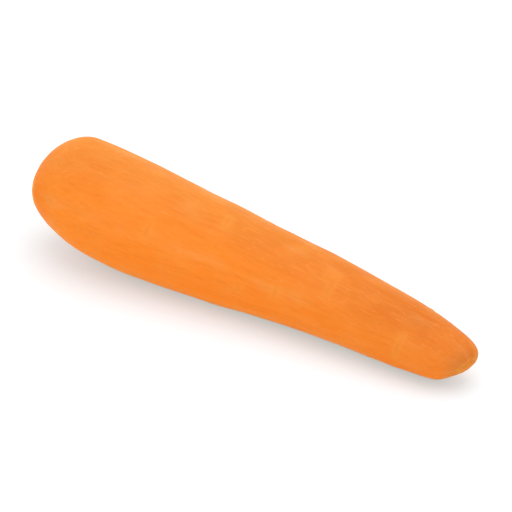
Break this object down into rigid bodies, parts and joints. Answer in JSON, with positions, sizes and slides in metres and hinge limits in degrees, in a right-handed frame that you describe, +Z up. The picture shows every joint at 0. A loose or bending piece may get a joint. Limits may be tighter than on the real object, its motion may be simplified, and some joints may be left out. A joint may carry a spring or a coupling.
{
  "type": "baby-cut carrot",
  "caption": "Peeled baby-cut carrot: a short, gently bowed orange root that tapers from a domed thick end to a blunt slanted tip, lying on its side.",
  "frame": {"origin": "bottom centre of the box round the carrot, on the surface that it lies on", "axes": "+X from the thick end to the tip, +Y to the back, +Z up"},
  "size_m": [0.0542, 0.0124, 0.0128],
  "materials": {
    "carrot_flesh": "satin"
  },
  "bodies": {
    "root": {"carrot": "carrot_flesh"}
  },
  "joints": []
}
